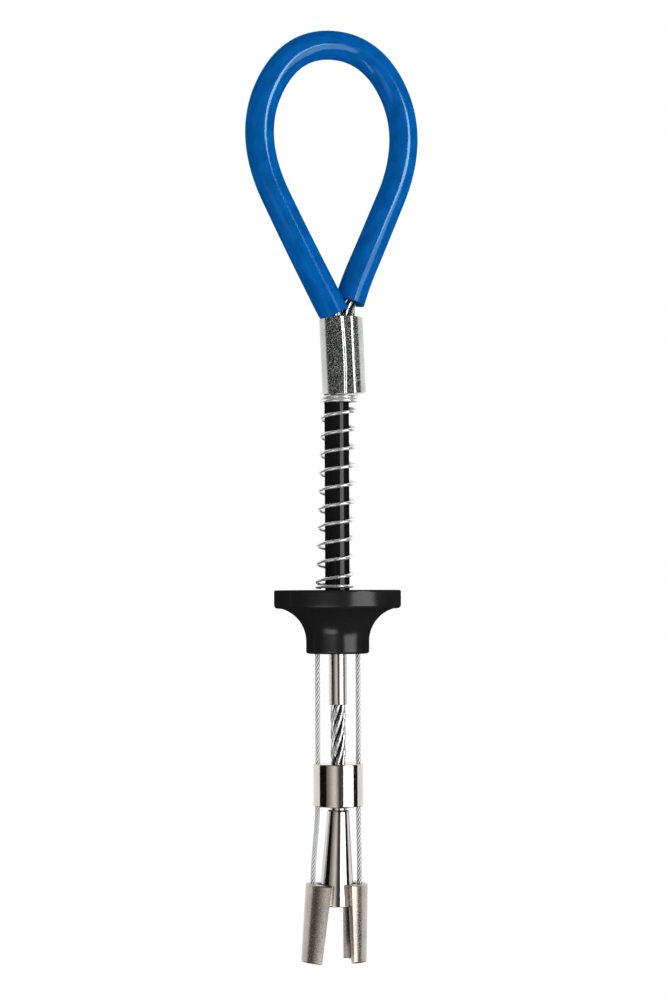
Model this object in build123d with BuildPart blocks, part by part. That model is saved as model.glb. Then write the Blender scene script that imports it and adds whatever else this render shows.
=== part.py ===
from build123d import *
import os
from math import cos, radians, sin, tan

# Removable wedge anchor for a drilled hole, on a wire cable that ends in a sheathed eye.
# Millimetres. +Z points to the eye. The origin is the centre of the guide collar.
# The eye, the control wires and both wings lie in the XZ plane.

# ---- driving dimensions ----
collar_radius = 9.15            # slides into a 19.05 mm hole
collar_length = 15.5
collar_edge = 0.3
collar_wire_wall = 0.5          # collar's skin outside each control wire
cable_radius = 2.78             # 7/32 in wire rope, and the bore of every piece swaged on it
wire_radius = 0.95              # control wires

# clearances
slide_gap = 0.1                 # knob on its tube and flange, wires in their holes
seat_gap = 0.05                 # faces that rest on each other across a joint
sleeve_gap = 0.1                # loose tubes on the cable
wedge_gap = 0.1                 # wing edges to the wedge at rest

# wedge
washer_wall = 1.22
washer_radius = cable_radius + washer_wall
washer_thickness = 1.3
neck_wall = 0.37
neck_radius = cable_radius + neck_wall
neck_length = 0.7
cone_top_wall = 1.22
cone_growth = 2.6               # radius gained from the wedge's top to its bottom
cone_top_radius = cable_radius + cone_top_wall
cone_bottom_radius = cone_top_radius + cone_growth
cone_length = 35.0
cone_shoulder = 0.8             # rounding of the wedge's top edge
cable_depth = 26.0              # length of cable held inside the wedge

# wings
wing_length = 28.2
wing_top_depth = 26.95          # wing top below the wedge's top face
wing_play = 1.0                 # wing bore over the wedge's top when the wings are drawn up
wing_bore_growth = 2.0
wing_bore_top = cone_top_radius + wing_play
wing_bore_bottom = wing_bore_top + wing_bore_growth
wing_half_angle = 70.0          # half of the angle a wing covers, at mid length
wing_angle_change = 2.5         # the half angle gains this at the top and loses it at the bottom
wing_edge = 0.5
wing_wire_wall = 0.95
wing_wire_radius = wing_bore_top + wing_wire_wall + wire_radius
wing_wire_depth = 8.0
wire_bend_radius = 20.0
wire_straights = (2.0, 3.0)     # straight wire below the collar and above the wing

# trigger
wire_spacing_radius = collar_radius - collar_wire_wall - wire_radius - slide_gap
knob_bottom_z = 48.0
knob_top_z = 71.2
knob_neck_wall = 3.95           # neck outside the wires' centres
knob_disc_overhang = 11.7       # disc outside the neck
knob_neck_radius = wire_spacing_radius + knob_neck_wall
knob_disc_radius = knob_neck_radius + knob_disc_overhang
knob_disc_thickness = 6.7
knob_neck_straight = 4.5
knob_flare_radius = 12.4
knob_edges = (0.9, 0.8, 2.0)    # neck's foot, disc's top edge, disc's lower edge
knob_seat_depth = 4.5           # counterbore that takes the stop flange
stop_wall = 0.75
stop_radius = wire_radius + stop_wall   # crimped sleeve on each wire, inside the knob
stop_length = 8.0
stop_top_below_disc = 5.0

# sleeve under the knob, tube above it
sleeve_wall = 0.52
sleeve_radius = cable_radius + sleeve_wall
sleeve_bottom_z = 29.3
tube_wall = 1.72
tube_radius = cable_radius + tube_wall
tube_top_z = 141.0
flange_overhang = 1.0
flange_radius = tube_radius + flange_overhang
flange_thickness = 2.4

# eye ferrule
ferrule_bend_z = 142.0          # the cable starts to lean here
ferrule_lean = 2.5
ferrule_start = 1.4             # along the lean, from the bend
ferrule_root_gap = 0.32         # ferrule's top to the start of the left leg's curve
ferrule_edge = 1.4
ferrule_web = 0.44              # metal between the two legs
ferrule_wall = 2.22
bore_spacing = 2 * cable_radius + ferrule_web
ferrule_radius = bore_spacing / 2 + cable_radius + ferrule_wall
dead_end_recess = 0.5

# eye
sheath_play = 0.87
sheath_wall = 1.6
sheath_bore = cable_radius + sheath_play
sheath_radius = sheath_bore + sheath_wall
leg_angles = (27.3, 23.4)       # left and right leg, from the vertical
leg_mark_z = 184.8              # the legs stand this far from the sheath's own radius here
leg_marks = ((-sheath_radius - 2.26, leg_mark_z), (sheath_radius + 3.41, leg_mark_z))
shoulder_angle = 25.0           # the eye's sides lean in by this where the top arc starts
eye_top_z = 270.7
eye_middle_x = -1.4
eye_top_half = 16.5             # from the middle to the corners of the top arc
arc_gap = 0.1                   # straight piece left between two arcs
left_root_radius = 9.0
right_root_radius = 20.0
sheath_left_z = 173.1
sheath_right = (sheath_radius + 0.95, 178.1)
sheath_kink_z = 184.0
sheath_kink_radius = 12.0

# spring
spring_wire = 0.6               # wire radius
spring_play = 1.3               # inside of the spring to its tube
spring_mean_radius = tube_radius + spring_play + spring_wire
spring_closed_pitch = 1.3
spring_open_turns = 10
spring_open_pitch = 6.66
spring_start_angle = 126.0
spring_lean = 1.9
spring_foot_x = -1.2
spring_foot_gap = 0.25

# ---- levels worked out from the above ----
collar_bottom_z = -collar_length / 2
washer_bottom_z = collar_bottom_z - washer_thickness
cone_top_z = washer_bottom_z - neck_length
cone_bottom_z = cone_top_z - cone_length
wing_top_z = cone_top_z - wing_top_depth
wing_bottom_z = wing_top_z - wing_length
knob_shoulder_z = knob_bottom_z + knob_seat_depth
flange_top_z = knob_shoulder_z - seat_gap
flange_bottom_z = flange_top_z - flange_thickness
stop_top_z = knob_top_z - stop_top_below_disc
stop_bottom_z = stop_top_z - stop_length


def wing_offset():
    """How far each wing's axis stands out so that the edges of its bore just clear the wedge."""
    taper = (cone_bottom_radius - cone_top_radius) / cone_length
    wedge = cone_top_radius + taper * wing_top_depth + wedge_gap
    angle = radians(wing_half_angle + wing_angle_change)
    edge_x = wing_bore_top * cos(angle)
    edge_y = wing_bore_top * sin(angle)
    return (wedge ** 2 - edge_y ** 2) ** 0.5 - edge_x


wing_out = wing_offset()


def cross(p, p_angle, q, q_angle):
    """Where two lines cross in the XZ plane. Each has a point and its lean to the right of the vertical."""
    slope_p = tan(radians(p_angle))
    slope_q = tan(radians(q_angle))
    z = (q[0] - p[0] + slope_p * p[1] - slope_q * q[1]) / (slope_p - slope_q)
    return (p[0] + slope_p * (z - p[1]), z)


def on_line(p, angle, z):
    """The point of a leaning line at a height."""
    return (p[0] + tan(radians(angle)) * (z - p[1]), z)


def corner_radius(p, q, used, turn):
    """The radius of the arc that fills what another arc leaves of the side from p to q."""
    side = ((p[0] - q[0]) ** 2 + (p[1] - q[1]) ** 2) ** 0.5
    return (side - used) / tan(radians(turn / 2))


# ---- route of the cable, in the XZ plane ----
bend = (0.0, ferrule_bend_z)
dead_point = (bore_spacing / cos(radians(ferrule_lean)), ferrule_bend_z)
left_root = cross(bend, -ferrule_lean, leg_marks[0], -leg_angles[0])
right_root = cross(dead_point, -ferrule_lean, leg_marks[1], leg_angles[1])
root_distance = (left_root[1] - bend[1]) / cos(radians(ferrule_lean))
root_curve = left_root_radius * tan(radians((leg_angles[0] - ferrule_lean) / 2))
ferrule_length = root_distance - root_curve - ferrule_root_gap - ferrule_start
top_left = (eye_middle_x - eye_top_half, eye_top_z)
top_right = (eye_middle_x + eye_top_half, eye_top_z)
side_left = cross(leg_marks[0], -leg_angles[0], top_left, shoulder_angle)
side_right = cross(leg_marks[1], leg_angles[1], top_right, -shoulder_angle)
top_turn = 90 - shoulder_angle
top_radius = (eye_top_half - arc_gap) / tan(radians(top_turn / 2))
left_radius = corner_radius(side_left, top_left, eye_top_half, leg_angles[0] + shoulder_angle)
right_radius = corner_radius(side_right, top_right, eye_top_half, leg_angles[1] + shoulder_angle)
dead_end = (
    dead_point[0] - sin(radians(ferrule_lean)) * (ferrule_start + dead_end_recess),
    dead_point[1] + cos(radians(ferrule_lean)) * (ferrule_start + dead_end_recess),
)
eye_corners = [side_left, top_left, top_right, side_right]
eye_radii = [left_radius, top_radius, top_radius, right_radius]

# ---- main cable: one wire rope from the wedge, round the eye and back into the ferrule ----
cable_start = (0.0, cone_top_z - cable_depth)
with BuildPart() as main_cable:
    with BuildLine(Plane.XZ) as cable_route:
        FilletPolyline(
            cable_start, bend, left_root, *eye_corners, right_root, dead_end,
            radius=[left_root_radius, left_root_radius, *eye_radii, right_root_radius],
        )
    with BuildSketch(Plane.XY.offset(cable_start[1])):
        Circle(cable_radius)
    sweep(path=cable_route.line)
main_cable.part.label = "main_cable"

# ---- eye sheath: loose vinyl tube, notched where the other leg passes its left end ----
sheath_start = on_line(leg_marks[0], -leg_angles[0], sheath_left_z)
sheath_kink = on_line(leg_marks[1], leg_angles[1], sheath_kink_z)
with BuildPart() as loop_sheath:
    with BuildLine(Plane.XZ) as sheath_route:
        FilletPolyline(
            sheath_start, *eye_corners, sheath_kink, sheath_right,
            radius=[*eye_radii, sheath_kink_radius],
        )
    start_plane = Plane(
        origin=(sheath_start[0], 0, sheath_start[1]),
        x_dir=(0, 1, 0),
        z_dir=(-sin(radians(leg_angles[0])), 0, cos(radians(leg_angles[0]))),
    )
    with BuildSketch(start_plane):
        Circle(sheath_radius)
        Circle(sheath_bore, mode=Mode.SUBTRACT)
    sweep(path=sheath_route.line)
    with BuildLine(Plane.XZ) as dead_leg:
        FilletPolyline(dead_end, right_root, sheath_kink, radius=right_root_radius)
    dead_plane = Plane(
        origin=(dead_end[0], 0, dead_end[1]),
        x_dir=(0, 1, 0),
        z_dir=(-sin(radians(ferrule_lean)), 0, cos(radians(ferrule_lean))),
    )
    with BuildSketch(dead_plane):
        Circle(cable_radius + sleeve_gap)
    sweep(path=dead_leg.line, mode=Mode.SUBTRACT)
loop_sheath.part.label = "loop_sheath"

# ---- eye ferrule: swaged round both legs ----
lean_x = sin(radians(ferrule_lean))
lean_z = cos(radians(ferrule_lean))
ferrule_plane = Plane(
    origin=(
        -lean_x * ferrule_start + lean_z * bore_spacing / 2,
        0,
        ferrule_bend_z + lean_z * ferrule_start + lean_x * bore_spacing / 2,
    ),
    x_dir=(lean_z, 0, lean_x),
    z_dir=(-lean_x, 0, lean_z),
)
with BuildPart() as upright_ferrule:
    with BuildSketch():
        Circle(ferrule_radius)
    extrude(amount=ferrule_length)
    fillet(upright_ferrule.edges().filter_by(GeomType.CIRCLE), ferrule_edge)
    with BuildSketch():
        with Locations((-bore_spacing / 2, 0), (bore_spacing / 2, 0)):
            Circle(cable_radius)
    extrude(amount=ferrule_length, mode=Mode.SUBTRACT)
eye_ferrule = ferrule_plane.location * upright_ferrule.part
eye_ferrule.label = "eye_ferrule"

# ---- guide tube: plastic tube over the cable that the knob slides on ----
with BuildPart() as guide_tube:
    with BuildSketch(Plane.XY.offset(flange_top_z)):
        Circle(tube_radius)
        Circle(cable_radius + sleeve_gap, mode=Mode.SUBTRACT)
    extrude(amount=tube_top_z - flange_top_z)
guide_tube.part.label = "guide_tube"

# ---- stop sleeve: swaged on the cable, with a flange that holds the knob's shoulder ----
with BuildPart() as stop_sleeve:
    with BuildSketch(Plane.XY.offset(sleeve_bottom_z)):
        Circle(sleeve_radius)
    extrude(amount=flange_bottom_z - sleeve_bottom_z)
    with BuildSketch(Plane.XY.offset(flange_bottom_z)):
        Circle(flange_radius)
    extrude(amount=flange_thickness)
    with BuildSketch(Plane.XY.offset(sleeve_bottom_z)):
        Circle(cable_radius)
    extrude(amount=flange_top_z - sleeve_bottom_z, mode=Mode.SUBTRACT)
stop_sleeve.part.label = "stop_sleeve"

# ---- guide collar: fills the hole and guides both control wires ----
with BuildPart() as guide_collar:
    with BuildSketch(Plane.XY.offset(collar_bottom_z)):
        Circle(collar_radius)
    extrude(amount=collar_length)
    fillet(guide_collar.edges().filter_by(GeomType.CIRCLE), collar_edge)
    with BuildSketch(Plane.XY.offset(collar_bottom_z)):
        Circle(cable_radius)
        with Locations((-wire_spacing_radius, 0), (wire_spacing_radius, 0)):
            Circle(wire_radius + slide_gap)
    extrude(amount=collar_length, mode=Mode.SUBTRACT)
guide_collar.part.label = "guide_collar"

# ---- washer between collar and wedge ----
with BuildPart() as wedge_washer:
    with BuildSketch(Plane.XY.offset(washer_bottom_z)):
        Circle(washer_radius)
        Circle(cable_radius, mode=Mode.SUBTRACT)
    extrude(amount=washer_thickness)
wedge_washer.part.label = "wedge_washer"

# ---- wedge: tapered body swaged on the cable's end ----
with BuildPart() as wedge_cone:
    with BuildSketch(Plane.XZ):
        Polygon(
            (0, cone_bottom_z), (cone_bottom_radius, cone_bottom_z), (cone_top_radius, cone_top_z),
            (0, cone_top_z), align=None,
        )
    revolve(axis=Axis.Z)
    fillet(wedge_cone.edges().group_by(Axis.Z)[-1], cone_shoulder)
    with BuildSketch(Plane.XY.offset(cone_top_z)):
        Circle(neck_radius)
    extrude(amount=neck_length)
    with BuildSketch(Plane.XY.offset(cable_start[1])):
        Circle(cable_radius)
    extrude(amount=washer_bottom_z - cable_start[1], mode=Mode.SUBTRACT)
wedge_cone.part.label = "wedge_cone"

# ---- return spring: closed end turns, open middle, leaning on its tube ----
spring_plane = Plane(
    origin=(spring_foot_x, 0, knob_top_z + spring_wire + spring_foot_gap),
    x_dir=(cos(radians(spring_lean)), 0, -sin(radians(spring_lean))),
    z_dir=(sin(radians(spring_lean)), 0, cos(radians(spring_lean))),
)
# each run of turns: foot, pitch, number of turns
spring_open_foot = spring_closed_pitch
spring_top_foot = spring_open_foot + spring_open_turns * spring_open_pitch
spring_runs = (
    (0.0, spring_closed_pitch, 1),
    (spring_open_foot, spring_open_pitch, spring_open_turns),
    (spring_top_foot, spring_closed_pitch, 2),
)
with BuildPart() as upright_spring:
    for foot, pitch, turns in spring_runs:
        with BuildLine() as coil:
            Helix(pitch=pitch, height=pitch * turns, radius=spring_mean_radius, center=(0, 0, foot))
        with BuildSketch(Plane(origin=coil.line @ 0, z_dir=coil.line % 0)):
            Circle(spring_wire)
        sweep(path=coil.line, is_frenet=True)
    with Locations((spring_mean_radius, 0, spring_open_foot), (spring_mean_radius, 0, spring_top_foot)):
        Sphere(spring_wire)
return_spring = spring_plane.location * Rotation(0, 0, spring_start_angle) * upright_spring.part
return_spring.label = "return_spring"

# ---- trigger knob: disc with a bell-shaped neck ----
disc_bottom_z = knob_top_z - knob_disc_thickness
flare_foot_z = knob_bottom_z + knob_neck_straight
flare_height = disc_bottom_z - flare_foot_z
flare_reach = knob_flare_radius - (knob_flare_radius ** 2 - flare_height ** 2) ** 0.5
flare_middle = knob_flare_radius - (knob_flare_radius ** 2 - (flare_height / 2) ** 2) ** 0.5
with BuildPart() as trigger_knob:
    with BuildSketch(Plane.XZ):
        with BuildLine():
            Line((0, knob_bottom_z), (knob_neck_radius, knob_bottom_z))
            Line((knob_neck_radius, knob_bottom_z), (knob_neck_radius, flare_foot_z))
            ThreePointArc(
                (knob_neck_radius, flare_foot_z),
                (knob_neck_radius + flare_middle, flare_foot_z + flare_height / 2),
                (knob_neck_radius + flare_reach, disc_bottom_z),
            )
            Line((knob_neck_radius + flare_reach, disc_bottom_z), (knob_disc_radius, disc_bottom_z))
            Line((knob_disc_radius, disc_bottom_z), (knob_disc_radius, knob_top_z))
            Line((knob_disc_radius, knob_top_z), (0, knob_top_z))
            Line((0, knob_top_z), (0, knob_bottom_z))
        make_face()
    revolve(axis=Axis.Z)
    rings = trigger_knob.edges().filter_by(GeomType.CIRCLE)
    fillet(rings.group_by(Axis.Z)[0], knob_edges[0])
    outer_rings = trigger_knob.edges().filter_by(GeomType.CIRCLE).group_by(SortBy.RADIUS)[-1]
    fillet(outer_rings.sort_by(Axis.Z)[-1], knob_edges[1])
    outer_rings = trigger_knob.edges().filter_by(GeomType.CIRCLE).group_by(SortBy.RADIUS)[-1]
    fillet(outer_rings.sort_by(Axis.Z)[0], knob_edges[2])
    with BuildSketch(Plane.XY.offset(knob_bottom_z)):
        Circle(flange_radius + slide_gap)
    extrude(amount=knob_seat_depth, mode=Mode.SUBTRACT)
    with BuildSketch(Plane.XY.offset(knob_bottom_z)):
        Circle(tube_radius + slide_gap)
    extrude(amount=knob_top_z - knob_bottom_z, mode=Mode.SUBTRACT)
    with BuildSketch(Plane.XY.offset(knob_bottom_z)):
        with Locations((-wire_spacing_radius, 0), (wire_spacing_radius, 0)):
            Circle(wire_radius + slide_gap)
    extrude(amount=stop_bottom_z - knob_bottom_z, mode=Mode.SUBTRACT)
    with BuildSketch(Plane.XY.offset(stop_bottom_z)):
        with Locations((-wire_spacing_radius, 0), (wire_spacing_radius, 0)):
            Circle(stop_radius)
    extrude(amount=stop_length, mode=Mode.SUBTRACT)
trigger_knob.part.label = "trigger_knob"


def control_wire(side):
    """A control wire from its stop in the knob, through the collar and out to its wing."""
    wing_x = side * (wing_out + wing_wire_radius)
    with BuildPart() as wire:
        with BuildLine(Plane.XZ) as route:
            FilletPolyline(
                (side * wire_spacing_radius, stop_top_z),
                (side * wire_spacing_radius, collar_bottom_z - wire_straights[0]),
                (wing_x, wing_top_z + wire_straights[1]),
                (wing_x, wing_top_z - wing_wire_depth),
                radius=wire_bend_radius,
            )
        with BuildSketch(Plane.XY.offset(stop_top_z)):
            with Locations((side * wire_spacing_radius, 0)):
                Circle(wire_radius)
        sweep(path=route.line)
    return wire.part


def wire_stop(side):
    """The sleeve crimped on a control wire's end, moulded into the knob."""
    with BuildPart() as stop:
        with BuildSketch(Plane.XY.offset(stop_bottom_z)):
            with Locations((side * wire_spacing_radius, 0)):
                Circle(stop_radius)
                Circle(wire_radius, mode=Mode.SUBTRACT)
        extrude(amount=stop_length)
    return stop.part


def wing(side):
    """A half-shell slip: round outside, tapered bore, two split faces and a hole for its wire."""
    turn = 0 if side > 0 else 180
    middle_z = (wing_top_z + wing_bottom_z) / 2
    edge = radians(wing_half_angle)
    middle_radius = (collar_radius + wing_bore_bottom) / 2
    drift = middle_radius * radians(wing_angle_change) / (wing_length / 2)
    with BuildPart() as shell:
        with BuildSketch(Plane.XZ):
            Polygon(
                (wing_bore_bottom, wing_bottom_z), (collar_radius, wing_bottom_z),
                (collar_radius, wing_top_z), (wing_bore_top, wing_top_z), align=None,
            )
        revolve(axis=Axis.Z)
        outside = shell.edges().filter_by(GeomType.CIRCLE).group_by(SortBy.RADIUS)[-1]
        fillet(outside, wing_edge)
        for hand in (1, -1):
            split(
                bisect_by=Plane(
                    origin=(middle_radius * cos(edge), hand * middle_radius * sin(edge), middle_z),
                    z_dir=(-sin(edge), hand * cos(edge), -drift),
                ),
                keep=Keep.BOTTOM,
            )
        with BuildSketch(Plane.XY.offset(wing_top_z)):
            with Locations((wing_wire_radius, 0)):
                Circle(wire_radius + slide_gap)
        extrude(amount=-wing_wire_depth, mode=Mode.SUBTRACT)
    return Rotation(0, 0, turn) * Location((wing_out, 0, 0)) * shell.part


left_control_wire = control_wire(-1)
left_control_wire.label = "left_control_wire"
right_control_wire = control_wire(1)
right_control_wire.label = "right_control_wire"
left_wire_stop = wire_stop(-1)
left_wire_stop.label = "left_wire_stop"
right_wire_stop = wire_stop(1)
right_wire_stop.label = "right_wire_stop"
left_wing = wing(-1)
left_wing.label = "left_wing"
right_wing = wing(1)
right_wing.label = "right_wing"

pieces = (
    main_cable.part, loop_sheath.part, eye_ferrule, guide_tube.part, stop_sleeve.part,
    guide_collar.part, wedge_washer.part, wedge_cone.part, return_spring, trigger_knob.part,
    left_control_wire, right_control_wire, left_wire_stop, right_wire_stop, left_wing, right_wing,
)
os.makedirs("parts", exist_ok=True)
for piece in pieces:
    export_step(piece, f"parts/{piece.label}.step")
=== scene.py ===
from math import cos, pi, radians, sin, tan

import bmesh
import bpy
import numpy as np
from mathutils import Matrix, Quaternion, Vector


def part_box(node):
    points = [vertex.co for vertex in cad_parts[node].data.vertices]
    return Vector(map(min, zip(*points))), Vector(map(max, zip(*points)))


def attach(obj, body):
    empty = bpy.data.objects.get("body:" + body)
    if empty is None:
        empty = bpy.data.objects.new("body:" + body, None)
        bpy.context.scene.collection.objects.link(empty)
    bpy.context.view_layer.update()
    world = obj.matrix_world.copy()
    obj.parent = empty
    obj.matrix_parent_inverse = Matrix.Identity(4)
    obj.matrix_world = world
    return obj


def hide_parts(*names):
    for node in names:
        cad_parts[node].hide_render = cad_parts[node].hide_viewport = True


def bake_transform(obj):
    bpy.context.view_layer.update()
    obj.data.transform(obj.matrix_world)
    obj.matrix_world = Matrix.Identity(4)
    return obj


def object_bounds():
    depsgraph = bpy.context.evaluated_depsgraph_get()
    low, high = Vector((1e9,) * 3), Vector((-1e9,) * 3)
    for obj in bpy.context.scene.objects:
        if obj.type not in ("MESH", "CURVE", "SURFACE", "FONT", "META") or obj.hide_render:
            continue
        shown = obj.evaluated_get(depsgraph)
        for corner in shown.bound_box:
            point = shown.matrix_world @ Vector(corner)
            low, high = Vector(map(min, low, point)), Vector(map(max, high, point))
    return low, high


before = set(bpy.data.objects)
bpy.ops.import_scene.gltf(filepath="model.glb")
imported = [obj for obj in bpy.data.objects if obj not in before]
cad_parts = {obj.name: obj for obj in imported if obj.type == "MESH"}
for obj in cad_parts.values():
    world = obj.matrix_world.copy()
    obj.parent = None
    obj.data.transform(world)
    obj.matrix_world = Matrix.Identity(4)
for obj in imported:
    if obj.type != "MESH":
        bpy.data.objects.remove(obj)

# A removable wedge anchor: two half-shell wings on a tapered wedge, a guide collar, a sprung trigger knob and
# a wire cable with a sheathed eye. All lengths are in metres. Z runs along the cable, up to the eye.
cad_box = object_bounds()
mm = 0.001


# ---- camera and studio ----
# A tall portrait view at the height of the trigger. Everything behind the object is white. Black flags and lit
# cards stand on an arc in front of it, so that round metal shows the light and dark stripes of a product shot.
view_turn = radians(18)         # the object's right side is turned away from the camera
camera_distance = 0.95
camera_height = 0.075
view_middle = 0.1042            # height at the middle of the picture
aim_shift = -0.00143            # to the right in the view
camera_roll = radians(0.25)
sensor = 36.0
focal_length = 93.4
floor_drop = 0.2                # floor below the object
floor_size = 12.0
floor_flag_gap = 0.02           # black flag above the floor, unseen by the camera
flag_black = (0.005, 0.005, 0.005)
card_columns = 25
card_distance = 0.7
flag_distance = 0.74            # black flags stand behind the lit cards
low_distance = 0.35
# Heights of the cards' edges, and the left and right edges in degrees from the camera.
card_foot = -0.5
fill_foot = -0.22
fill_top = 0.055
low_card_foot = -0.33
low_card_top = -0.125
ceiling_height = 1.6
left_flag_sides = (-95, -57)
front_flag_sides = (-57, 24)
right_flag_sides = (3, 100)
fill_sides = (-56, 4)
gap_sides = (4, 24)
low_card_sides = (-60, 4)
# The key light is a tall panel that tapers upwards to a brighter strip.
key_outline = [(-0.45, 24, 74), (-0.055, 24, 73), (0.063, 26, 70), (0.188, 31, 63), (0.25, 34, 60)]
key_top_outline = [(0.25, 34, 60), (0.41, 43, 54)]
# Brightness across each card, as (share of its width, brightness).
flag_shades = [(0, 0.003), (1, 0.003)]
front_flag_shades = [(0, 0.004), (0.6, 0.02), (1, 0.006)]
fill_shades = [(0, 0.15), (0.25, 0.35), (0.6, 0.85), (0.75, 0.8), (0.9, 0.3), (1, 0.08)]
fill_tint = (1, 0.96, 0.92)
gap_shades = [(0, 0.07), (1, 0.05)]
key_shades = [(0, 2.6), (1, 2.9)]
key_top_shades = [(0, 9), (1, 11)]
low_card_shades = [(0, 0), (0.4, 3), (0.75, 3), (1, 0)]

toward_camera = Vector((-sin(view_turn), -cos(view_turn), 0))
view_right = Vector((cos(view_turn), -sin(view_turn), 0))
up = Vector((0, 0, 1))


def set_sockets(material, node, sockets):
    """Sets a node's sockets to values, or links them where they are given another node's output."""
    for key, value in sockets.items():
        if isinstance(value, bpy.types.NodeSocket):
            material.node_tree.links.new(value, node.inputs[key])
        else:
            node.inputs[key].default_value = value


def add_node(material, kind, sockets=(), **settings):
    """Adds a shader node with its settings and sockets."""
    node = material.node_tree.nodes.new("ShaderNode" + kind)
    for key, value in settings.items():
        setattr(node, key, value)
    set_sockets(material, node, dict(sockets))
    return node


def glow(name, colour=None):
    """A surface that gives off plain light, of one colour or of its mesh's own."""
    made = bpy.data.materials.new(name)
    made.use_nodes = True
    made.node_tree.nodes.remove(made.node_tree.nodes["Principled BSDF"])
    if colour is None:
        shade = add_node(made, "Attribute", attribute_name="glow").outputs["Color"]
    else:
        shade = (*colour, 1)
    light = add_node(made, "Emission", {"Color": shade, "Strength": 1.0})
    set_sockets(made, made.node_tree.nodes["Material Output"], {"Surface": light.outputs[0]})
    return made


def add_stage_mesh(name, points, faces, material):
    """A mesh that isn't part of the object."""
    mesh = bpy.data.meshes.new(name)
    mesh.from_pydata(points, [], faces)
    made = bpy.data.objects.new(name, mesh)
    bpy.context.scene.collection.objects.link(made)
    mesh.materials.append(material)
    return made


def hide(card, is_flag):
    """Keeps a card or flag out of sight. A flag only darkens reflections, and a lit card also lights what it
    faces."""
    card.visible_camera = False
    card.visible_shadow = False
    card.visible_diffuse = not is_flag


def level_square(name, half_side, height, material):
    """A level square round the Z axis."""
    corners = [(x * half_side, y * half_side, height) for x, y in ((-1, -1), (1, -1), (1, 1), (-1, 1))]
    return add_stage_mesh(name, corners, [(0, 1, 2, 3)], material)


def upright_outline(bottom, top, sides):
    """The outline of a card with upright sides."""
    return [(bottom, *sides), (top, *sides)]


def add_card(name, outline, shades, distance=card_distance, tint=(1, 1, 1), is_flag=False):
    """An upright curved card round the object. Its outline is (height, left, right) from bottom to top. Each
    row of points is an arc round the Z axis, from left to right."""
    share = np.linspace(0, 1, card_columns)
    bright = np.interp(share, *zip(*shades))
    points, colours = [], []
    for height, left, right in outline:
        for angle, value in zip(np.radians(left + share * (right - left)), bright):
            place = distance * (toward_camera * cos(angle) + view_right * sin(angle))
            points.append((place.x, place.y, height))
            colours.extend([value * c for c in tint] + [1])
    faces = [
        (row + i, row + i + 1, row + card_columns + i + 1, row + card_columns + i)
        for row in range(0, (len(outline) - 1) * card_columns, card_columns) for i in range(card_columns - 1)
    ]
    card = add_stage_mesh(name, points, faces, card_glow)
    layer = card.data.attributes.new("glow", "FLOAT_COLOR", "POINT")
    layer.data.foreach_set("color", colours)
    hide(card, is_flag)


camera_data = bpy.data.cameras.new("camera")
camera_data.lens = focal_length
camera_data.sensor_width = sensor
camera = bpy.data.objects.new("camera", camera_data)
bpy.context.scene.collection.objects.link(camera)
camera.location = toward_camera * camera_distance + up * camera_height
camera_data.shift_y = (view_middle - camera_height) / camera_distance * focal_length / sensor
aim = view_right * aim_shift + up * camera_height
gaze = (aim - camera.location).to_track_quat("-Z", "Y")
camera.rotation_euler = (gaze @ Quaternion((0, 0, 1), -camera_roll)).to_euler()
bpy.context.scene.camera = camera

world = bpy.data.worlds.new("white_room")
world.use_nodes = True
world.node_tree.nodes["Background"].inputs["Color"].default_value = (1, 1, 1, 1)
world.node_tree.nodes["Background"].inputs["Strength"].default_value = 1.0
bpy.context.scene.world = world
bpy.context.scene.view_settings.view_transform = "Standard"

floor_z = cad_box[0][2] - floor_drop
level_square("floor", floor_size / 2, floor_z, glow("pale_floor", (1, 1, 1)))
card_glow = glow("card_glow")
for name, height in (("flag_floor", floor_z + floor_flag_gap), ("flag_ceiling", ceiling_height)):
    hide(level_square(name, card_distance, height, glow(name, flag_black)), True)
add_card("flag_left", upright_outline(card_foot, ceiling_height, left_flag_sides), flag_shades, is_flag=True)
add_card("fill_left", upright_outline(fill_foot, fill_top, fill_sides), fill_shades, tint=fill_tint)
add_card("flag_low", upright_outline(card_foot, fill_top, front_flag_sides), flag_shades,
         distance=flag_distance, is_flag=True)
add_card("flag_front", upright_outline(fill_top, ceiling_height, front_flag_sides), front_flag_shades,
         is_flag=True)
add_card("gap_front", upright_outline(fill_foot, fill_top, gap_sides), gap_shades)
add_card("flag_right", upright_outline(card_foot, ceiling_height, right_flag_sides), flag_shades,
         distance=flag_distance, is_flag=True)
add_card("key_right", key_outline, key_shades)
add_card("key_top", key_top_outline, key_top_shades)
add_card("low_card", upright_outline(low_card_foot, low_card_top, low_card_sides), low_card_shades,
         distance=low_distance)


# ---- main cable ----
# Galvanised steel wire rope of six strands round a core. It is swaged into the wedge, runs up through the
# collar, sleeve and tube, round the eye, and ends beside itself in the eye ferrule.
cable_radius = 2.78 * mm
strand_count = 6
strand_circle = 1.85 * mm       # strand centres
strand_radius = 0.95 * mm
core_radius = 1.0 * mm
strand_lay = 40 * mm
wire_lay = 18 * mm
wires_per_strand = 12
wire_relief = 0.09              # depth of the grooves between wires, in strand radii
strand_columns = 60
core_columns = 12
core_rows = 160
route_steps = 40                # points of the line for each stretch between control points
crease_angle = radians(40)      # edges sharper than this stay crisp
fine_step = 0.45 * mm
coarse_step = 4.0 * mm
# Where the cable shows its wires: this far into a sleeve or sheath, and this much of the bare legs.
under_edge = 2 * mm
left_bare = 9 * mm
right_bare = 16 * mm
relief_fade = 4 * mm
rope_colour = (0.8, 0.8, 0.77)
rope_valley = (0.78, 0.93)
# Near-black painted shade for the valleys between strands, where shade falls.
valley_shade = (0.012, 0.013, 0.014)
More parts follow.
